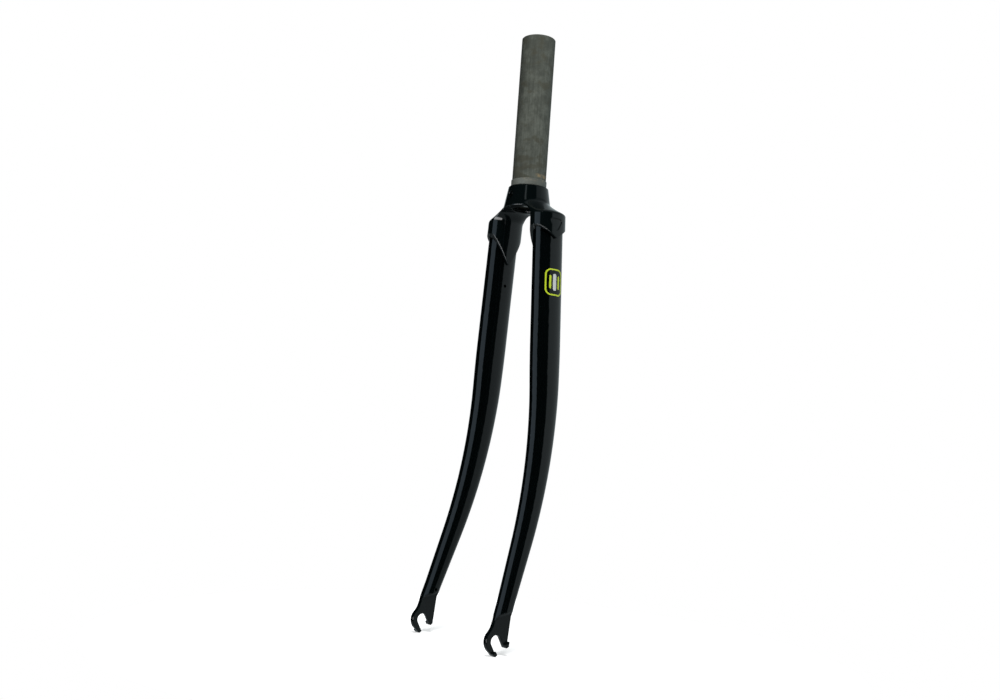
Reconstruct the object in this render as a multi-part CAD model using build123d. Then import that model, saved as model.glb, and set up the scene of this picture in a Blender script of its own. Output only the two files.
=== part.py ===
from build123d import *
import math
import os

# Rigid road bicycle fork, brazed from six pieces: steerer tube, cast crown, two raked blades, two fork ends.
# Frame: origin where the steerer axis meets the crown race plane, +Z up the steerer, -Y is the riding
# direction, +X is the rider's left. Millimetres.

# Fork geometry
axle_to_crown = 365.0       # race plane down to the wheel axle, along the steerer
rake = 40.5                 # axle ahead of the steerer axis
hub_spacing = 100.0         # between the inner faces of the fork ends
socket_spacing = 61.2       # between the blade axes, at socket_level
socket_level = 40.0         # depth below the race plane at which socket_spacing is taken

# Steerer tube
steerer_diameter = 28.6
steerer_root_diameter = 28.0   # turned foot that registers in the crown
steerer_bore = 25.4
steerer_butt_bore = 23.4    # narrower bore of the thick lower end
steerer_length = 130.0      # above the race plane
butt_start = 45.0           # height where the bore begins to narrow
butt_end = 15.0             # height where the narrow bore is reached
steerer_chamfer = 0.4

# Crown casting
race_seat_diameter = 30.0
race_seat_height = 5.8
collar_diameter = 33.6      # at the race plane
collar_round = 0.8
waist_flare = 3.0           # widening of the conical boss from the collar to the waist
waist_depth = 8.5           # level of the waist, where the shoulders begin to spread
shoulder_depth = 26.0       # level at which the shoulders reach the full width of the sockets
flank_power = 1.75          # how hollow the flanks are
shoulder_inset = 2.5        # start of the shoulders inside the boss
shoulder_thinning = 0.5     # how soon the shoulders thin from the boss to the depth of the sockets
boss_blend = 6.0            # hollow round between the boss and the shoulders, where they leave room for it
blend_step = 0.2            # how closely that room is found
blend_tries = 18            # most steps spent on finding it
crown_depth = 18.8          # underside at the centre
socket_wall = 2.1
socket_floor = 27.0         # top of the blades, measured down the blade axis from the race plane
floor_hole_diameter = 22.0  # opening in the floor under the steerer
floor_thickness = 3.5
floor_chamfer = 1.2
shoulder_round = 0.14       # share of the flank over which the shoulder turns down into the socket
arch_round = 9.0            # rounding between the underside and the sockets
arch_flare = 0.8            # extra depth of the oval that the tyre arch is cut to
arch_sweep = 78.0           # half of the arc that the arch follows round a socket
rim_round = 0.8             # softened front and rear edges of the arch
seam_angle = 86.0           # where the waist is split to meet the straight front and rear of the sections
flank_sections = 9
flank_crowding = 0.7        # sections stand closer together towards the shoulder
point_start = 37.5          # where the socket edge starts at front and rear, down the blade axis
outer_point = 49.0          # tip of the outer point
inner_point = 64.5          # tip of the longer inner point
point_round = 1.6
cheek_top = 32.5            # shallow panel on the outer side of each shoulder
cheek_tip = 44.0
cheek_width = 14.0
cheek_round = 2.0
cheek_recess = 0.6
brake_depth = 8.5           # brake bolt axis below the race plane
brake_bolt_hole = 6.0
brake_nut_hole = 8.0        # wider hole from the rear for the recessed nut

# Blades
blade_depth = 27.0          # fore and aft, at the crown
blade_width = 19.6          # across, at the crown
tip_diameter = 13.7
blade_wall = 1.0
tip_length = 12.0           # even round tip above the blade end
taper_start = 152.0         # down the blade axis from the race plane
taper_ease = 40.0           # length over which the taper sets in
bend_radius = 450.0
bend_angle = 16.8
tip_gap = 17.5              # blade end above the axle
end_slant = 28.0            # blade ends reach lower at the front than at the rear
vent_diameter = 2.6
upper_vent = 81.0           # down the blade axis from the race plane
lower_vent = 9.0            # above the blade end
taper_sections = 4          # lofted steps along the taper and the bend
bend_sections = 6

# Fork ends
end_thickness = 4.0
slot_width = 9.0
slot_tilt = 30.0            # slot opens down and to the rear
hook_radius = 9.4           # front edge round the axle
rear_edge = 10.6            # rear edge behind the axle
leg_length = 8.8            # leg tips beyond the axle, along the slot
toe_width = 2.7             # width of the front leg at its tip
lip_length = 3.0
lip_height = 2.8            # retention lips on the outer face
edge_round = 0.7
neck_round = 14.0           # hollow between the neck and the hook
plug_length = 6.0           # part of the fork end inside the blade
scallop_radius = 5.0        # hollow sides where the blade runs out into the plate

os.makedirs("parts", exist_ok=True)

# Legs lean outward from the crown to the hub: their axes pass mid plate at the blade end
end_centre = hub_spacing / 2 + end_thickness / 2
tip_height = axle_to_crown - tip_gap * math.cos(math.radians(bend_angle))
splay = math.degrees(math.atan((end_centre - socket_spacing / 2) / (tip_height - socket_level)))
leg_root = socket_spacing / 2 - socket_level * math.tan(math.radians(splay))
sin_splay = math.sin(math.radians(splay))
cos_splay = math.cos(math.radians(splay))
down = Vector(sin_splay, 0, -cos_splay)
across = Vector(cos_splay, 0, sin_splay)
front = Vector(0, -1, 0)
waist_diameter = collar_diameter + waist_flare

# Side profile of a blade: straight, one arc, straight, and its last run points at the axle
bend = math.radians(bend_angle)
bend_offset = bend_radius * (1 - math.cos(bend))
last_run = (rake - bend_offset) / math.sin(bend)
bend_start = axle_to_crown / cos_splay - bend_radius * math.sin(bend) - last_run * math.cos(bend)
bend_end = bend_start + bend_radius * bend
blade_end = bend_end + last_run - tip_gap
tip_start = blade_end - tip_length

# Side plane of the left leg: local x forward, local y down the leg, facing outward
leg_side = Plane(origin=(leg_root, 0, 0), x_dir=front, z_dir=across)
on_top = (Align.CENTER, Align.CENTER, Align.MIN)


def blade_plane(station):
    """Plane square to the left blade's axis, at a length down the axis from the race plane."""
    turn = min(max((station - bend_start) / bend_radius, 0), bend)
    run_in = min(station, bend_start)
    run_out = max(station - bend_end, 0)
    depth = run_in + bend_radius * math.sin(turn) + run_out * math.cos(bend)
    reach = bend_radius * (1 - math.cos(turn)) + run_out * math.sin(bend)
    origin = Vector(leg_root, 0, 0) + down * depth + front * reach
    heading = down * math.cos(turn) + front * math.sin(turn)
    return Plane(origin=origin, x_dir=across, z_dir=heading)


def blade_section(station, inset=0.0):
    """Oval blade section: constant at the top, then tapered to a round tip."""
    past = max(station - taper_start + taper_ease / 2, 0)
    eased = past**2 / (2 * taper_ease) if past < taper_ease else past - taper_ease / 2
    share = eased / (tip_start - taper_start)
    width = blade_width + (tip_diameter - blade_width) * share
    depth = blade_depth + (tip_diameter - blade_depth) * share
    return blade_plane(station) * Ellipse(width / 2 - inset, depth / 2 - inset)


def blade_form(top, bottom, inset=0.0):
    """Solid inside the blade's outline, set in by a wall, between two stations."""
    taper_from = taper_start - taper_ease / 2
    straight = extrude(blade_section(top, inset), taper_from - top)
    runs = [(taper_from, bend_start, taper_sections), (bend_start, bend_end, bend_sections)]
    stations = [start + (end - start) * i / count for start, end, count in runs for i in range(count)]
    raked = loft([blade_section(s, inset) for s in stations + [bend_end]])
    lower = loft([blade_section(bend_end, inset), blade_section(tip_start, inset)], ruled=True)
    tip = extrude(blade_plane(tip_start) * Circle(tip_diameter / 2 - inset), bottom - tip_start)
    return straight + raked + lower + tip


# Plane that ends the blades: level across, and slanted down to the front
lean = math.atan(math.tan(bend) / cos_splay)
slant = math.radians(end_slant)
axle = Vector(end_centre, -rake, -axle_to_crown)
along_blade = Vector(0, math.sin(lean), math.cos(lean))
tip_point = axle + along_blade * tip_gap
tip_normal = Vector(0, math.sin(lean - slant), math.cos(lean - slant))
tip_plane = Plane(origin=tip_point, x_dir=(1, 0, 0), z_dir=tip_normal)


def scallops():
    """Cylinders that hollow both sides of the blade end down to the faces of the plate."""
    reach = end_thickness / 2 + scallop_radius
    length = 3 * tip_diameter
    lying = Rot(90, 0, 0) * Cylinder(scallop_radius, length)
    return [tip_plane * Pos(side * reach, 0, 0) * lying for side in (-1, 1)]


def make_blade():
    overrun = blade_end + tip_diameter / 2
    tube = blade_form(socket_floor, overrun) - blade_form(socket_floor, overrun, blade_wall)
    below = tip_plane * Pos(0, 0, -blade_depth) * Box(3 * blade_depth, 3 * blade_depth, 2 * blade_depth)
    tube = tube - below
    for scallop in scallops():
        tube = tube - scallop
    for station in (upper_vent, blade_end - lower_vent):
        vent = blade_plane(station) * Pos(-blade_width / 2, 0, 0) * Rot(0, 90, 0)
        tube = tube - vent * Cylinder(vent_diameter / 2, blade_width)
    return tube


def shoulder_spread(depth):
    """Share of the way from the round waist to the full sockets: a hollow flank with a rounded shoulder."""
    flank = max((depth - waist_depth) / (shoulder_depth - waist_depth), 0) ** flank_power
    blend = max(shoulder_round - abs(flank - 1), 0) / shoulder_round
    return min(flank, 1) - blend**2 * shoulder_round / 4


def boss_radius(depth):
    """Radius of the conical boss, which runs from the race plane down through the underside."""
    return (collar_diameter + (waist_diameter - collar_diameter) * depth / waist_depth) / 2


def crown_section(depth):
    """Level section of the shoulders: a circle inside the boss at the waist, then ovals over the sockets."""
    spread = shoulder_spread(depth)
    start = boss_radius(waist_depth) - shoulder_inset
    side = boss_radius(depth) - shoulder_inset
    offset = spread * (leg_root + depth * math.tan(math.radians(splay)))
    a = side + spread * ((blade_width / 2 + socket_wall) / cos_splay - side)
    b = start + spread**shoulder_thinning * (blade_depth / 2 + socket_wall - start)
    seam = 90.0 if spread else seam_angle
    right = EllipticalCenterArc((offset, 0), a, b, -seam, arc_size=2 * seam)
    left = EllipticalCenterArc((-offset, 0), a, b, 180 - seam, arc_size=2 * seam)
    if spread:
        rear = Line((offset, b), (-offset, b))
        fore = Line((-offset, -b), (offset, -b))
    else:
        rear = EllipticalCenterArc((0, 0), a, b, seam, arc_size=180 - 2 * seam)
        fore = EllipticalCenterArc((0, 0), a, b, 180 + seam, arc_size=180 - 2 * seam)
    return Plane.XY.offset(-depth) * make_face([right, rear, left, fore])


def mirrored(shape):
    return mirror(shape, Plane.YZ)


def wheel_arch():
    """Room for the tyre left of the centre plane: outside the socket's oval, with a rounded ceiling."""
    a = blade_width / 2 + socket_wall
    b = blade_depth / 2 + socket_wall + arch_flare
    centre = leg_root + crown_depth * math.tan(math.radians(splay))
    room = 3 * blade_depth
    wall = EllipticalCenterArc((centre, 0), a, b, 180 - arch_sweep, arc_size=2 * arch_sweep)
    start, end = wall @ 0, wall @ 1
    run_in = wall % 0
    run_out = wall % 1
    lead = start - run_in * ((room - start.Y) / -run_in.Y)
    tail = end + run_out * ((room + end.Y) / -run_out.Y)
    outline = [
        Line(lead, start),
        wall,
        Line(end, tail),
        Polyline(tail, (0, -room), (0, room), lead),
    ]
    drop = inner_point + blade_width
    arch = extrude(Plane.XY.offset(-crown_depth) * make_face(outline), drop, dir=down)
    ceiling = arch.faces().sort_by(Axis.Z)[-1].edges()
    chain = [e for e in ceiling if e.center().X > arch_round and abs(e.center().Y) < room - blade_depth]
    keel = Box(2 * (centre - a - arch_round), 2 * room, drop, align=(Align.CENTER, Align.CENTER, Align.MAX))
    return fillet(chain, arch_round) + Pos(0, 0, -crown_depth) * keel


def socket_points(reach, side):
    """Cutter below one pointed socket edge: the outer edge for side 1, the inner edge for side -1."""
    half = blade_depth / 2 + socket_wall
    room = inner_point + 2 * blade_depth
    edge = [(-room, point_start), (-half, point_start), (0, reach), (half, point_start), (room, point_start)]
    face = make_face(Polyline(*edge, (room, room), (-room, room), close=True))
    tip = face.vertices().sort_by_distance((0, reach))[0]
    return extrude(leg_side * fillet(tip, point_round), side * room)


def cheek_panel():
    """Shallow shield-like recess on the outer side of a shoulder, of even depth."""
    corners = [(-cheek_width / 2, cheek_top), (cheek_width / 2, cheek_top), (0, cheek_tip)]
    face = make_face(Polyline(*corners, close=True))
    panel = extrude(leg_side * fillet(face.vertices(), cheek_round), 2 * blade_width)
    a = blade_width / 2 + socket_wall - cheek_recess
    b = blade_depth / 2 + socket_wall - cheek_recess
    return panel - extrude(blade_plane(0) * Ellipse(a, b), inner_point)


def make_crown():
    knee = waist_depth + (shoulder_depth - waist_depth) * (1 + shoulder_round) ** (1 / flank_power)
    shares = [(i / flank_sections) ** flank_crowding for i in range(flank_sections + 1)]
    flank = [waist_depth + (knee - waist_depth) * share for share in shares]
    shoulders = loft([crown_section(d) for d in flank])
    foot = crown_depth + floor_thickness
    boss = Pos(0, 0, -foot) * Cone(boss_radius(foot), boss_radius(0), foot, align=on_top)
    boss = fillet(boss.edges().sort_by(Axis.Z)[-1], collar_round)
    body = shoulders + boss
    crease = [e for e in new_edges(shoulders, boss, combined=body) if e.center().Z > -crown_depth]
    room = body.max_fillet(crease, tolerance=blend_step, max_iterations=blend_tries)
    body = fillet(crease, min(boss_blend, room))
    body += loft([crown_section(knee), crown_section(inner_point + blade_width)], ruled=True)
    arch = wheel_arch()
    arch += mirrored(arch)
    arched = body - arch
    rim = [e for e in new_edges(body, arch, combined=arched) if e.center().Z > -inner_point]
    body = fillet(rim, rim_round)
    left_cuts = [
        socket_points(outer_point, 1),
        socket_points(inner_point, -1),
        cheek_panel(),
        blade_form(socket_floor, blade_end),
    ]
    for cut in left_cuts:
        body = body - cut - mirrored(cut)
    seat = Cylinder(race_seat_diameter / 2, race_seat_height, align=on_top)
    body = body + seat - Pos(0, 0, floor_thickness - crown_depth) * Cylinder(
        steerer_root_diameter / 2, crown_depth + race_seat_height, align=on_top
    )
    hole = floor_hole_diameter / 2
    chamfer_cone = Cone(hole + floor_chamfer, hole, floor_chamfer, align=on_top)
    body = body - Pos(0, 0, -crown_depth) * (chamfer_cone + Cylinder(hole, crown_depth, align=on_top))
    return body - brake_bore()


def brake_bore():
    """Hole for the brake bolt, wider behind the steerer for its nut."""
    run = waist_diameter
    bolt = Pos(0, 0, -brake_depth) * Rot(90, 0, 0) * Cylinder(brake_bolt_hole / 2, run, align=on_top)
    nut = Pos(0, 0, -brake_depth) * Rot(-90, 0, 0) * Cylinder(brake_nut_hole / 2, run, align=on_top)
    return bolt + nut


def make_steerer():
    """Butted tube that stands on the floor of the crown."""
    radius, root = steerer_diameter / 2, steerer_root_diameter / 2
    foot = floor_thickness - crown_depth
    outline = [
        (steerer_butt_bore / 2, foot),
        (root, foot),
        (root, race_seat_height),
        (radius, race_seat_height),
        (radius, steerer_length - steerer_chamfer),
        (radius - steerer_chamfer, steerer_length),
        (steerer_bore / 2, steerer_length),
        (steerer_bore / 2, butt_start),
        (steerer_butt_bore / 2, butt_end),
    ]
    profile = Plane.XZ * make_face(Polyline(*outline, close=True))
    return revolve(profile, Axis.Z) - brake_bore()


def end_outline():
    """Side outline of a fork end about the axle: local x to the rear, local y up."""
    slot_down = Vector(math.sin(math.radians(slot_tilt)), -math.cos(math.radians(slot_tilt)))
    slot_rear = Vector(math.cos(math.radians(slot_tilt)), math.sin(math.radians(slot_tilt)))
    blade_up = Vector(math.sin(lean), math.cos(lean))
    blade_fore = Vector(-math.cos(lean), math.sin(lean))
    half_tip, half_slot = tip_diameter / 2, slot_width / 2
    drop = half_tip * math.tan(slant)
    neck_front = blade_up * (tip_gap - drop) + blade_fore * half_tip
    neck_rear = blade_up * (tip_gap + drop) - blade_fore * half_tip
    hook_top = blade_up * math.sqrt(hook_radius**2 - half_tip**2) + blade_fore * half_tip
    toe = slot_down * leg_length - slot_rear * half_slot
    toe_front = toe - slot_rear * toe_width
    toe_angle = math.atan2(toe_front.Y, toe_front.X) - math.acos(hook_radius / toe_front.length)
    top_angle = math.degrees(math.atan2(hook_top.Y, hook_top.X))
    hook = CenterArc((0, 0), hook_radius, top_angle, math.degrees(toe_angle) + 360 - top_angle)
    slot_end = CenterArc((0, 0), half_slot, slot_tilt, 180)
    heel = slot_down * leg_length + slot_rear * half_slot
    heel_rear = Vector(rear_edge, heel.Y + (rear_edge - heel.X) * math.tan(math.radians(slot_tilt)))
    outline = [
        Line(neck_rear, neck_front),
        Line(neck_front, hook_top),
        hook,
        Polyline(hook @ 1, toe_front, toe, slot_end @ 1),
        slot_end,
        Polyline(slot_end @ 0, heel, heel_rear, neck_rear),
    ]
    face = make_face(outline)
    face = fillet(face.vertices().sort_by_distance(hook_top)[0], neck_round)
    for corner in (toe_front, toe, heel, heel_rear):
        face = fillet(face.vertices().sort_by_distance(corner)[0], edge_round)
    return face


def make_end():
    """Slotted plate with lips on its outer face and a scalloped plug that fills the blade's end."""
    outline = end_outline()
    inner_face = Plane(origin=(hub_spacing / 2, -rake, -axle_to_crown), x_dir=(0, 1, 0), z_dir=(1, 0, 0))
    plate = extrude(inner_face * outline, end_thickness)
    sides = plate.faces().sort_by(Axis.X)
    rims = sides[0].edges() + sides[-1].edges()
    rims = [e for e in rims if (e.center() - tip_point).length > end_thickness]
    plate = fillet(rims, edge_round)
    reach = 4 * hook_radius
    tips = Rot(0, 0, slot_tilt) * Pos(0, lip_length - leg_length - reach / 2) * Rectangle(reach, reach)
    mid_plate = inner_face.offset(end_thickness / 2)
    lips = [extrude(mid_plate * tip, end_thickness / 2 + lip_height) for tip in (outline & tips).faces()]
    lips = [fillet(lip.faces().sort_by(Axis.X)[-1].edges(), edge_round) for lip in lips]
    plug = blade_form(socket_floor, blade_end + tip_diameter / 2, blade_wall)
    room = 2 * blade_end
    plug = plug & (tip_plane * Pos(0, 0, plug_length / 2) * Box(room, room, plug_length))
    for scallop in scallops():
        plug = plug - scallop
    return plate + lips + plug


crown = make_crown()
left_blade = make_blade()
left_end = make_end()
pieces = {
    "steerer_tube": make_steerer(),
    "fork_crown": crown,
    "left_blade": left_blade,
    "right_blade": mirrored(left_blade),
    "left_fork_end": left_end,
    "right_fork_end": mirrored(left_end),
}
for name, piece in pieces.items():
    export_step(piece, f"parts/{name}.step")
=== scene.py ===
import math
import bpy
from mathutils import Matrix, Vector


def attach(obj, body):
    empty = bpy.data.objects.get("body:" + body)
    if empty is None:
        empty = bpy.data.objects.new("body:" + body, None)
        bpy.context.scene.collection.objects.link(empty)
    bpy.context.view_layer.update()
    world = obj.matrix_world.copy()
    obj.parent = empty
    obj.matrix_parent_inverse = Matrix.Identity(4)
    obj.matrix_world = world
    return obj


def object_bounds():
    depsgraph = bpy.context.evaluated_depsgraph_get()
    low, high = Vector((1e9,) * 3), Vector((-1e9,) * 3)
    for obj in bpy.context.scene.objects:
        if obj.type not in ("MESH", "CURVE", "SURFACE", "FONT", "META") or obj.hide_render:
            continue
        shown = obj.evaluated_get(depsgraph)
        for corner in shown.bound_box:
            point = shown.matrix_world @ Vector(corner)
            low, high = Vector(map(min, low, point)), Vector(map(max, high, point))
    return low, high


bl_info = {
    "name": "Rigid road fork",
    "version": (1, 0, 0),
    "blender": (4, 5, 0),
    "location": "View3D > Sidebar > Fork",
    "description": "Dresses the packed road fork: mill steel steerer, gloss paint and blade decal",
    "category": "Object",
}

from typing import NamedTuple

import bmesh
import bpy
from bpy.props import FloatProperty, FloatVectorProperty, PointerProperty
from mathutils import Matrix, Vector
from mathutils.bvhtree import BVHTree

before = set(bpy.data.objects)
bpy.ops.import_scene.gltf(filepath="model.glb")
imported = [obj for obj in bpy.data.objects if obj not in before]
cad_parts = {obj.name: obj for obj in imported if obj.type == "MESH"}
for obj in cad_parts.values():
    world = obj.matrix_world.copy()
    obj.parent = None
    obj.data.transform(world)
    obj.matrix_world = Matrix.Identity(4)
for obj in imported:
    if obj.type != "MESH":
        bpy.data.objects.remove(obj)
cad_box = [list(corner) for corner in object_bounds()]
MM = 0.001
STEERER = "steerer_tube"
CROWN = "fork_crown"
BLADES = ("left_blade", "right_blade")
ENDS = ("left_fork_end", "right_fork_end")


class Wire:
    """A socket in a node tree: arithmetic on it adds Math nodes, and node() adds any other node."""

    def __init__(self, tree, socket=None):
        self.tree = tree
        self.socket = socket

    def node(self, kind, settings=None, sockets=None, out=0):
        """Adds a node with its settings, then the values or links of its sockets."""
        made = self.tree.nodes.new(kind)
        for key, value in (settings or {}).items():
            setattr(made, key, value)
        for key, value in (sockets or {}).items():
            if isinstance(value, Wire):
                self.tree.links.new(value.socket, made.inputs[key])
            else:
                made.inputs[key].default_value = value
        return Wire(self.tree, made.outputs[out] if made.outputs else None)

    def math(self, operation, *values):
        return self.node("ShaderNodeMath", {"operation": operation}, dict(enumerate(values)))

    def __add__(self, other):
        return self.math("ADD", self, other)

    def __sub__(self, other):
        return self.math("SUBTRACT", self, other)

    def __rsub__(self, other):
        return self.math("SUBTRACT", other, self)

    def __mul__(self, other):
        return self.math("MULTIPLY", self, other)

    __radd__ = __add__
    __rmul__ = __mul__


def step(value, low, high):
    """Smooth rise from 0 at low to 1 at high."""
    return value.node(
        "ShaderNodeMapRange",
        {"interpolation_type": "SMOOTHSTEP"},
        {"Value": value, "From Min": low, "From Max": high},
    )


def band(value, low, high, soft):
    """1 between low and high, with soft edges."""
    return step(value, low - soft, low + soft) * (1 - step(value, high - soft, high + soft))


def tint(factor, below, above):
    """Colour that goes from below to above with the factor."""
    return factor.node(
        "ShaderNodeMix", {"data_type": "RGBA"}, {0: factor, 6: below, 7: above}, out=2
    )


def opaque(colour, share=1.0):
    """Colour with full alpha, made darker or lighter by a share."""
    return (*(part * share for part in colour), 1.0)


def axes_of(place):
    """X, Y and Z of a place."""
    return [place.node("ShaderNodeSeparateXYZ", {}, {0: place}, out=axis) for axis in range(3)]


def millimetres(start):
    """Place on the object, and its X, Y and Z in millimetres."""
    place = start.node("ShaderNodeTexCoord", out="Object")
    return place, [axis * (1 / MM) for axis in axes_of(place)]


def noise(place, size, detail=3.0, rough=0.55, stretch=None):
    """Noise value, with a cell size given in metres and an optional scale along each axis."""
    if stretch:
        place = place.node("ShaderNodeMapping", {}, {"Vector": place, "Scale": stretch})
    sockets = {"Vector": place, "Scale": 1 / size, "Detail": detail, "Roughness": rough}
    return place.node("ShaderNodeTexNoise", {}, sockets)


def new_finish(name):
    """Material with an empty node tree, and a wire to start its nodes from."""
    finish = bpy.data.materials.new(name)
    finish.use_nodes = True
    finish.node_tree.nodes.clear()
    return finish, Wire(finish.node_tree)


def close_finish(start, sockets):
    """Ends a material with its shader and output."""
    shader = start.node("ShaderNodeBsdfPrincipled", {}, sockets)
    start.node("ShaderNodeOutputMaterial", {}, {"Surface": shader})


def dress(name, finish):
    """Gives a carried-over CAD node its finish."""
    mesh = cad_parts[name].data
    mesh.materials.clear()
    mesh.materials.append(finish)


class ForkFinish(bpy.types.PropertyGroup):
    """Colours of the finishes, and the round that they give to edges"""

    paint: FloatVectorProperty(
        name="Paint",
        description="Colour of the gloss paint",
        default=(0.0009, 0.0017, 0.0018),
        size=3,
        subtype="COLOR",
    )
    steel: FloatVectorProperty(
        name="Mill steel",
        description="Colour of the raw steerer tube",
        default=(0.1, 0.108, 0.092),
        size=3,
        subtype="COLOR",
    )
    turned: FloatVectorProperty(
        name="Turned steel",
        description="Colour of the turned race seat",
        default=(0.098, 0.104, 0.092),
        size=3,
        subtype="COLOR",
    )
    rust: FloatVectorProperty(
        name="Rust",
        description="Colour of the rust at the foot of the steerer",
        default=(0.27, 0.21, 0.125),
        size=3,
        subtype="COLOR",
    )
    decal: FloatVectorProperty(
        name="Decal yellow",
        description="Colour of the decal's outline and outer stripes",
        default=(0.55, 0.68, 0.035),
        size=3,
        subtype="COLOR",
    )
    decal_white: FloatVectorProperty(
        name="Decal white",
        description="Colour of the decal's middle stripe",
        default=(0.62, 0.64, 0.63),
        size=3,
        subtype="COLOR",
    )
    edge_round: FloatProperty(
        name="Edge round",
        description="Radius that paint gives to the edges of blades and fork ends",
        default=0.5 * MM,
        unit="LENGTH",
    )
    cast_round: FloatProperty(
        name="Cast round",
        description="Radius of the casting's edges under paint",
        default=1.1 * MM,
        unit="LENGTH",
    )


class ForkStage(bpy.types.PropertyGroup):
    """Strength of the lamps and the studio, and the size of the floor"""

    backdrop: FloatProperty(
        name="Backdrop",
        description="Radiance of the backdrop in reflections",
        default=0.55,
        min=0.0,
    )
    card: FloatProperty(
        name="Card",
        description="Power of the soft box ahead of the fork",
        default=0.37,
        unit="POWER",
        min=0.0,
    )
    overhead: FloatProperty(
        name="Overhead", description="Radiance of the ceiling", default=0.19, min=0.0
    )
    table: FloatProperty(
        name="Table", description="Radiance of the ground beyond the floor", default=0.3, min=0.0
    )
    strip: FloatProperty(
        name="Strip", description="Radiance of the strip light", default=0.8, min=0.0
    )
    key: FloatProperty(
        name="Key lamp", description="Power of the key lamp", default=26.0, unit="POWER", min=0.0
    )
    low: FloatProperty(
        name="Low lamp",
        description="Power of the low front lamp",
        default=2.5,
        unit="POWER",
        min=0.0,
    )
    panel: FloatProperty(
        name="Panel", description="Power of the wide low panel", default=2.6, unit="POWER", min=0.0
    )
    floor_radius: FloatProperty(
        name="Floor radius", description="Radius of the floor", default=0.3, unit="LENGTH"
    )


class FORK_OT_paint(bpy.types.Operator):
    """Gloss black paint on the crown, blades and fork ends, with the bare turned race seat"""

    bl_idname = "fork.paint"
    bl_label = "Paint"

    # Cell sizes of the noise, in metres
    HAZE = 22 * MM
    PEEL = 0.9 * MM
    RINGS = 0.35 * MM
    RING_STRETCH = (0.05, 0.05, 1.0)
    RUST_GRAIN = 2.2 * MM
    # Where the bare seat and its rust set in, in millimetres along Z and along X
    SEAT_RISE = (-0.05, 0.1)
    RUST_RISE = (2.0, 5.8)
    RUST_SIDE = (5.0, 12.0)
    # Noise values over which rust sets in, and the most that it covers
    RUST_EDGE = (0.5, 0.75)
    RUST_COVER = 0.6
    # Shares of the colours: lightest paint, darkest and lightest turned steel
    LIGHT_PAINT = 1.25
    RING_TONES = (0.62, 1.2)
    # Relief and gloss
    RING_RELIEF = 3
    BUMP = {"Strength": 0.03, "Distance": 0.02 * MM}
    BEVEL_SAMPLES = 6
    PAINT_ROUGHNESS = 0.06
    HAZE_ROUGHNESS = 0.04
    SEAT_ROUGHNESS = 0.35
    SEAT_METAL = 0.25
    PAINT_IOR = 1.45

    def execute(self, context):
        values = context.scene.fork_finish
        tubes = self.paint("blade_paint", values, values.edge_round)
        for name in BLADES + ENDS:
            dress(name, tubes)
        dress(CROWN, self.paint("crown_paint", values, values.cast_round))
        return {"FINISHED"}

    def paint(self, name, values, round_over):
        """Paint with a given round on the edges, and turned steel above the race plane."""
        finish, start = new_finish(name)
        place, (x, _, z) = millimetres(start)
        seat = step(z, *self.SEAT_RISE)
        haze = noise(place, self.HAZE)
        peel = noise(place, self.PEEL, detail=1.0)
        rings = noise(place, self.RINGS, detail=2.0, stretch=self.RING_STRETCH)
        patch = noise(place, self.RUST_GRAIN, detail=4.0)
        rust = step(patch, *self.RUST_EDGE) * seat
        rust = rust * step(z, *self.RUST_RISE) * step(x, *self.RUST_SIDE) * self.RUST_COVER
        paint = tint(haze, opaque(values.paint), opaque(values.paint, self.LIGHT_PAINT))
        turned = tint(rings, *(opaque(values.turned, tone) for tone in self.RING_TONES))
        turned = tint(rust, turned, opaque(values.rust))
        height = peel * (1 - seat) + rings * seat * self.RING_RELIEF
        edge = start.node(
            "ShaderNodeBevel", {"samples": self.BEVEL_SAMPLES}, {"Radius": round_over}
        )
        bump = start.node("ShaderNodeBump", {}, {**self.BUMP, "Height": height, "Normal": edge})
        gloss = self.PAINT_ROUGHNESS + haze * self.HAZE_ROUGHNESS
        close_finish(start, {
            "Base Color": tint(seat, paint, turned),
            "Metallic": seat * self.SEAT_METAL * (1 - rust),
            "Roughness": gloss + seat * self.SEAT_ROUGHNESS,
            "IOR": self.PAINT_IOR,
            "Normal": bump,
        })
        return finish


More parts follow.
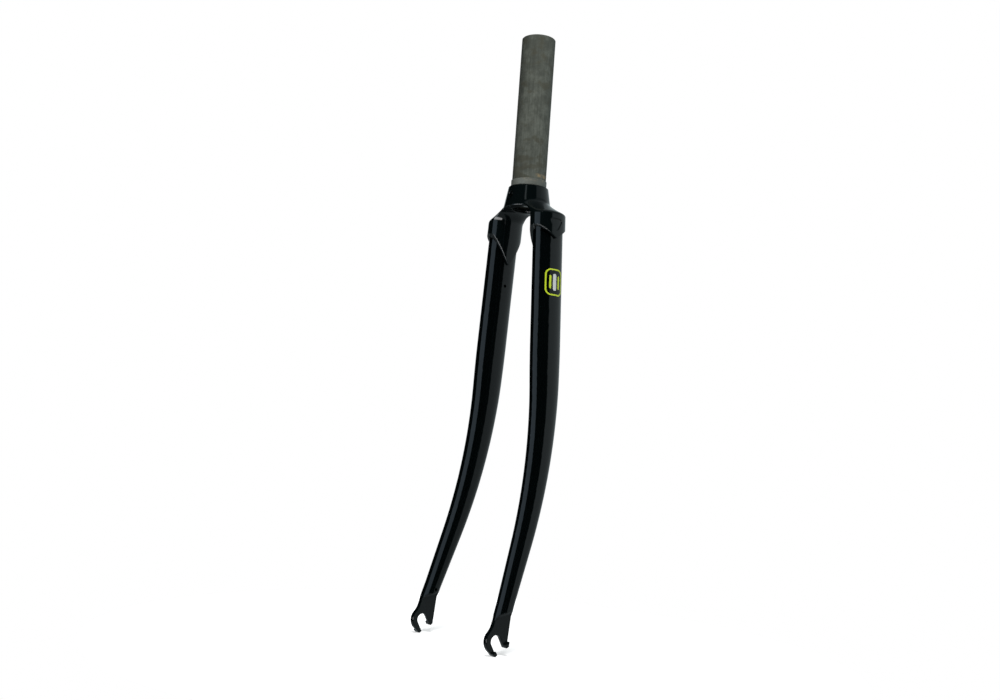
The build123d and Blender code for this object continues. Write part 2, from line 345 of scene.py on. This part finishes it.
class FORK_OT_steerer(bpy.types.Operator):
    """Raw mill steel on the steerer tube, with drawing streaks, mottling, stains, some rust and a
    painted shade that darkens it towards the top
    """

    bl_idname = "fork.steerer"
    bl_label = "Steerer"

    # Cell sizes of the noise, in metres
    MOTTLE = 8 * MM
    STREAK = 1.4 * MM
    STREAK_STRETCH = (1.0, 1.0, 0.04)
    GRAIN = 0.35 * MM
    BLOTCH = 11 * MM
    BLOTCH_STRETCH = (1.0, 1.0, 1.6)
    RUST_GRAIN = 2.4 * MM
    # Tone of the steel: shares of the noises, and a painted shade that darkens it up the tube, with
    # its rise in millimetres
    MOTTLE_SHARE = 0.6
    STREAK_SHARE = 0.28
    GRAIN_SHARE = 0.12
    TOP_PAINTED_SHADE = 0.06
    PAINTED_SHADE_RISE = (20.0, 120.0)
    # Tones over which the steel goes from dark to light, and both as shares of its colour
    TONE_EDGE = (0.34, 0.66)
    TONE_ENDS = (0.66, 1.36)
    # Stains: noise values over which they set in, more of them at the foot, and their brown
    STAIN_EDGE = (0.53, 0.66)
    FOOT_STAIN = 0.12
    FOOT_RISE = (14.0, 34.0)
    STAIN_COVER = 0.6
    STAIN_TONE = (0.68, 0.61, 0.52)
    # Rust above the race seat: limits and softness along Z and Y, limits along X, in millimetres
    RUST_RISE = (7.6, 10.2, 0.9)
    RUST_WIDTH = (-3.0, 9.0, 2.0)
    RUST_SIDE = (6.0, 9.0)
    RUST_EDGE = (0.25, 0.7)
    # Relief and gloss
    STREAK_RELIEF = 0.6
    GRAIN_RELIEF = 0.4
    BUMP = {"Strength": 0.25, "Distance": 0.03 * MM}
    METAL = 0.1
    SPECULAR = 0.15
    ROUGHNESS = 0.55
    MOTTLE_ROUGHNESS = 0.15

    def execute(self, context):
        values = context.scene.fork_finish
        finish, start = new_finish("mill_steel")
        place, (x, y, z) = millimetres(start)
        mottle = noise(place, self.MOTTLE, detail=7.0, rough=0.72)
        streak = noise(place, self.STREAK, detail=3.0, stretch=self.STREAK_STRETCH)
        grain = noise(place, self.GRAIN, detail=2.0)
        blotch = noise(place, self.BLOTCH, detail=4.0, stretch=self.BLOTCH_STRETCH)
        foot = 1 - step(z, *self.FOOT_RISE)
        stain = step(blotch + self.FOOT_STAIN * foot, *self.STAIN_EDGE)
        tone = mottle * self.MOTTLE_SHARE + streak * self.STREAK_SHARE + grain * self.GRAIN_SHARE
        # Painted shade: the steel colour is made darker towards the top of the tube
        tone = tone - step(z, *self.PAINTED_SHADE_RISE) * self.TOP_PAINTED_SHADE
        dark, light = (opaque(values.steel, share) for share in self.TONE_ENDS)
        steel = tint(step(tone, *self.TONE_EDGE), dark, light)
        brown = opaque([part * share for part, share in zip(values.steel, self.STAIN_TONE)])
        stained = tint(stain * self.STAIN_COVER, steel, brown)
        patch = band(z, *self.RUST_RISE) * band(y, *self.RUST_WIDTH) * step(x, *self.RUST_SIDE)
        rust = patch * step(noise(place, self.RUST_GRAIN, detail=4.0), *self.RUST_EDGE)
        height = streak * self.STREAK_RELIEF + grain * self.GRAIN_RELIEF
        bump = start.node("ShaderNodeBump", {}, {**self.BUMP, "Height": height})
        close_finish(start, {
            "Base Color": tint(rust, stained, opaque(values.rust)),
            "Metallic": self.METAL,
            "Roughness": self.ROUGHNESS + mottle * self.MOTTLE_ROUGHNESS,
            "Specular IOR Level": self.SPECULAR,
            "Normal": bump,
        })
        dress(STEERER, finish)
        return {"FINISHED"}


class Print(NamedTuple):
    """Upright oblong of the decal in millimetres, drawn as rings set in from its edge."""

    ink: int
    across: float
    width: float
    height: float
    radius: float
    insets: tuple
    filled: bool = True


def rounded_loop(shape, inset, corner_points=13, side_steps=16, least_corner=0.01):
    """Points round an oblong with rounded corners, drawn in from its edge by the inset."""
    half_w = shape.width / 2 - inset
    half_h = shape.height / 2 - inset
    corner = max(shape.radius - inset, least_corner)
    turn = 90 / (corner_points - 1)
    corners = []
    for quarter, (side, end) in enumerate(((1, 1), (-1, 1), (-1, -1), (1, -1))):
        for i in range(corner_points):
            angle = math.radians(90 * quarter + turn * i)
            corners.append(Vector((
                side * (half_w - corner) + corner * math.cos(angle),
                end * (half_h - corner) + corner * math.sin(angle),
            )))
    loop = []
    for i, (point, after) in enumerate(zip(corners, corners[1:] + corners[:1])):
        steps = side_steps if i % corner_points == corner_points - 1 else 1
        loop += [point.lerp(after, k / steps) for k in range(steps)]
    return loop


class FORK_OT_decal(bpy.types.Operator):
    """Printed decal on the outer face of the left blade: an outlined oblong with three stripes"""

    bl_idname = "fork.decal"
    bl_label = "Decal"

    # Printed shapes, with the ink as a material index
    YELLOW, WHITE = 0, 1
    RIM = (0.0, 0.6, 1.2)
    OUTLINE = Print(YELLOW, 0.0, width=17.0, height=22.0, radius=5.0, insets=RIM, filled=False)
    MIDDLE = Print(WHITE, 0.0, width=3.4, height=14.0, radius=1.69, insets=RIM)
    FRONT = Print(YELLOW, -4.2, width=1.8, height=11.0, radius=0.89, insets=(0.0, 0.45))
    REAR = FRONT._replace(across=4.2)
    # Left leg: X of its axis at the race plane in millimetres, and its slope outward
    LEG_ROOT = 27.853
    LEG_SLOPE = 0.0687
    # Middle of the decal in millimetres: down the leg's axis, and behind it
    DEPTH = 85.0
    SETBACK = 0.4
    # In millimetres: how far out the search for the blade starts, gap under the film, its thickness
    REACH = 40
    LIFT = 0.08
    FILM = 0.05
    # Inks: cell size of their grain in metres, their darkest share, and gloss
    GRAIN = 0.5 * MM
    DARK_INK = 0.93
    INK_ROUGHNESS = 0.12
    GRAIN_ROUGHNESS = 0.08
    INK_IOR = 1.42

    def execute(self, context):
        mesh = self.film_mesh(context)
        self.add_inks(mesh, context.scene.fork_finish)
        decal = bpy.data.objects.new("blade_decal", mesh)
        context.scene.collection.objects.link(decal)
        film = decal.modifiers.new("film", "SOLIDIFY")
        film.thickness = self.FILM * MM
        film.offset = 1.0
        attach(decal, "root")
        return {"FINISHED"}

    def film_mesh(self, context):
        """Lays the printed shapes on the blade's surface."""
        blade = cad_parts["left_blade"]
        surface = BVHTree.FromObject(blade, context.evaluated_depsgraph_get())
        outward = Vector((1.0, 0.0, self.LEG_SLOPE)).normalized()
        downward = Vector((self.LEG_SLOPE, 0.0, -1.0)).normalized()
        centre = Vector((self.LEG_ROOT, self.SETBACK, 0.0)) * MM + downward * self.DEPTH * MM
        form = bmesh.new()
        for shape in (self.OUTLINE, self.MIDDLE, self.FRONT, self.REAR):
            rings = []
            for inset in shape.insets:
                ring = []
                for across, along in rounded_loop(shape, inset):
                    at = centre + downward * along * MM
                    at = at + Vector((0, (shape.across + across) * MM, 0))
                    hit, normal, _, _ = surface.ray_cast(at + outward * self.REACH * MM, -outward)
                    if hit is None:
                        raise RuntimeError("decal misses the blade")
                    ring.append(form.verts.new(hit + normal * self.LIFT * MM))
                rings.append(ring)
            for outer, inner in zip(rings, rings[1:]):
                for i in range(len(outer)):
                    j = (i + 1) % len(outer)
                    face = form.faces.new((outer[i], outer[j], inner[j], inner[i]))
                    face.material_index = shape.ink
            if shape.filled:
                form.faces.new(rings[-1]).material_index = shape.ink
        bmesh.ops.recalc_face_normals(form, faces=form.faces)
        mesh = bpy.data.meshes.new("blade_decal")
        form.to_mesh(mesh)
        form.free()
        return mesh

    def add_inks(self, mesh, values):
        """Gives the film its inks, in the order of their material indices."""
        for name, colour in (("decal_yellow", values.decal), ("decal_white", values.decal_white)):
            finish, start = new_finish(name)
            place, _ = millimetres(start)
            grain = noise(place, self.GRAIN)
            close_finish(start, {
                "Base Color": tint(grain, opaque(colour, self.DARK_INK), opaque(colour)),
                "Roughness": self.INK_ROUGHNESS + grain * self.GRAIN_ROUGHNESS,
                "IOR": self.INK_IOR,
            })
            mesh.materials.append(finish)


class Lamp(NamedTuple):
    """Area lamp: its place, target, width and height, and the pieces it lights, or none for all."""

    place: tuple
    target: tuple
    size: tuple
    lights: tuple = ()


class FORK_OT_stage(bpy.types.Operator):
    """Camera, studio, floor and lamps"""

    bl_idname = "fork.stage"
    bl_label = "Stage"

    # Lamps, in metres
    KEY = Lamp((0.44, -0.34, 1.05), (0.0, 0.0, -0.1), (0.5, 0.5))
    LOW = Lamp((0.3, -0.55, -0.36), (0.0, 0.0, -0.05), (0.4, 0.26), ENDS)
    PANEL = Lamp((0.179, -0.383, -0.2), (0.0, 0.0, -0.045), (0.62, 0.2), (CROWN,))
    CARD = Lamp((0.0185, -0.286, -0.17), (0.0235, 0.09, -0.17), (0.283, 0.5), (CROWN, *BLADES))
    CARD_COLOUR = (0.77, 0.97, 1.15)
    # Camera: sensor and lens in millimetres, place in metres, and right, up and back as columns
    SENSOR = 36.0
    LENS = 39.204
    CAMERA_PLACE = (0.7238, -0.5405, -0.2283)
    CAMERA_AXES = (
        (0.5899, 0.0376, 0.8066),
        (0.8042, -0.1164, -0.5828),
        (0.0719, 0.9925, -0.0989),
    )
    # Studio in degrees round (turn) and up (rise): two limits, and the softness of a band
    BACKDROP_TURN = (12.0, 172.0, 2.5)
    BACKDROP_RISE = (-16.0, 14.0)
    BACKDROP_FADE = (20.0, 40.0)
    CEILING_RISE = (56.0, 70.0)
    GROUND_RISE = (-24.0, -16.0)
    STRIP_TURN = (-55.0, -46.5, 1.5)
    STRIP_RISE = (24.0, 42.0, 2.0)
    # Shares of the radiance: the backdrop's foot, and the studio's red and blue
    BACKDROP_FOOT = 0.62
    STUDIO_RED = 0.87
    STUDIO_BLUE = 1.03
    # Floor: middle, gap under the fork and cell size of the flecks in metres, and its finish
    FLOOR_CENTRE = (0.0, -0.02)
    FLOOR_GAP = 0.2 * MM
    FLOOR_SIDES = 96
    FLECK = 3 * MM
    FLOOR_TONES = (0.78, 0.82)
    FLOOR_GLOW = 0.6
    FLOOR_ROUGHNESS = 0.9

    def execute(self, context):
        scene = context.scene
        values = scene.fork_stage
        scene.view_settings.view_transform = "Standard"
        self.camera(scene)
        self.studio(scene, values)
        self.floor(scene, values)
        key = self.lamp(scene, "key_lamp", self.KEY, values.key)
        key.visible_glossy = False
        self.lamp(scene, "low_lamp", self.LOW, values.low)
        self.lamp(scene, "panel", self.PANEL, values.panel)
        card = self.lamp(scene, "card", self.CARD, values.card)
        card.data.color = self.CARD_COLOUR
        card.visible_diffuse = False
        return {"FINISHED"}

    def lamp(self, scene, name, form, power):
        """Adds a lamp that the camera can't see."""
        light = bpy.data.lights.new(name, "AREA")
        light.shape = "RECTANGLE"
        light.size, light.size_y = form.size
        light.energy = power
        lamp = bpy.data.objects.new(name, light)
        lamp.location = form.place
        aim = Vector(form.target) - Vector(form.place)
        lamp.rotation_euler = aim.to_track_quat("-Z", "Y").to_euler()
        lamp.visible_camera = False
        scene.collection.objects.link(lamp)
        if form.lights:
            lit = bpy.data.collections.new(name + "_lights")
            for piece in form.lights:
                lit.objects.link(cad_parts[piece])
            lamp.light_linking.receiver_collection = lit
        return lamp

    def camera(self, scene):
        """Camera at the photograph's viewing angle."""
        lens = bpy.data.cameras.new("camera")
        lens.sensor_fit = "HORIZONTAL"
        lens.sensor_width = self.SENSOR
        lens.lens = self.LENS
        camera = bpy.data.objects.new("camera", lens)
        axes = Matrix(self.CAMERA_AXES).to_4x4()
        camera.matrix_world = Matrix.Translation(self.CAMERA_PLACE) @ axes
        scene.collection.objects.link(camera)
        scene.camera = camera

    def studio(self, scene, values):
        """World that is white to the camera, and that the paint mirrors as a room."""
        world = bpy.data.worlds.new("studio")
        world.use_nodes = True
        world.node_tree.nodes.clear()
        start = Wire(world.node_tree)
        x, y, z = axes_of(start.node("ShaderNodeTexCoord", out="Generated"))
        turn = start.math("ARCTAN2", y, x) * math.degrees(1)
        rise = start.math("ARCSINE", z) * math.degrees(1)
        behind = band(turn, *self.BACKDROP_TURN)
        fade = step(rise, *self.BACKDROP_FADE)
        foot = self.BACKDROP_FOOT + step(rise, *self.BACKDROP_RISE) * (1 - self.BACKDROP_FOOT)
        backdrop = behind * (values.backdrop - fade * (values.backdrop - values.overhead)) * foot
        ceiling = step(rise, *self.CEILING_RISE) * (1 - behind) * values.overhead
        strip = band(turn, *self.STRIP_TURN) * band(rise, *self.STRIP_RISE) * values.strip
        ground = 1 - step(rise, *self.GROUND_RISE)
        level = (backdrop + strip) * (1 - ground) + ceiling + ground * values.table
        parts = {0: level * self.STUDIO_RED, 1: level, 2: level * self.STUDIO_BLUE}
        light = start.node("ShaderNodeCombineColor", {}, parts)
        seen = start.node("ShaderNodeLightPath", out="Is Camera Ray")
        colour = tint(seen, light, opaque((1, 1, 1)))
        back = start.node("ShaderNodeBackground", {}, {"Color": colour})
        start.node("ShaderNodeOutputWorld", {}, {"Surface": back})
        scene.world = world

    def floor(self, scene, values):
        """Pale floor just under the fork, with a glow that only the camera sees."""
        mesh = bpy.data.meshes.new("floor")
        form = bmesh.new()
        bmesh.ops.create_circle(
            form, cap_ends=True, segments=self.FLOOR_SIDES, radius=values.floor_radius
        )
        form.to_mesh(mesh)
        form.free()
        floor = bpy.data.objects.new("floor", mesh)
        floor.location = (*self.FLOOR_CENTRE, cad_box[0][2] - self.FLOOR_GAP)
        floor.visible_glossy = False
        scene.collection.objects.link(floor)
        finish, start = new_finish("pale_floor")
        fleck = noise(start.node("ShaderNodeTexCoord", out="Object"), self.FLECK)
        seen = start.node("ShaderNodeLightPath", out="Is Camera Ray")
        close_finish(start, {
            "Base Color": tint(fleck, *(opaque((1, 1, 1), tone) for tone in self.FLOOR_TONES)),
            "Roughness": self.FLOOR_ROUGHNESS,
            "Emission Color": tint(seen, opaque((0, 0, 0)), opaque((1, 1, 1), self.FLOOR_GLOW)),
            "Emission Strength": 1.0,
        })
        mesh.materials.append(finish)


class FORK_PT_panel(bpy.types.Panel):
    """Sidebar panel with the fork's values and operators"""

    bl_idname = "FORK_PT_panel"
    bl_label = "Rigid road fork"
    bl_space_type = "VIEW_3D"
    bl_region_type = "UI"
    bl_category = "Fork"

    def draw(self, context):
        layout = self.layout
        for group in (context.scene.fork_finish, context.scene.fork_stage):
            for name in group.bl_rna.properties.keys():
                if name not in ("rna_type", "name"):
                    layout.prop(group, name)
        for operator in OPERATORS:
            layout.operator(operator.bl_idname)


OPERATORS = (FORK_OT_stage, FORK_OT_paint, FORK_OT_steerer, FORK_OT_decal)
CLASSES = (ForkFinish, ForkStage, *OPERATORS, FORK_PT_panel)


def register():
    for cls in CLASSES:
        bpy.utils.register_class(cls)
    bpy.types.Scene.fork_finish = PointerProperty(type=ForkFinish)
    bpy.types.Scene.fork_stage = PointerProperty(type=ForkStage)


def unregister():
    del bpy.types.Scene.fork_stage
    del bpy.types.Scene.fork_finish
    for cls in reversed(CLASSES):
        bpy.utils.unregister_class(cls)


def main():
    register()
    bpy.ops.fork.stage()
    bpy.ops.fork.paint()
    bpy.ops.fork.steerer()
    bpy.ops.fork.decal()


if __name__ == "__main__":
    main()
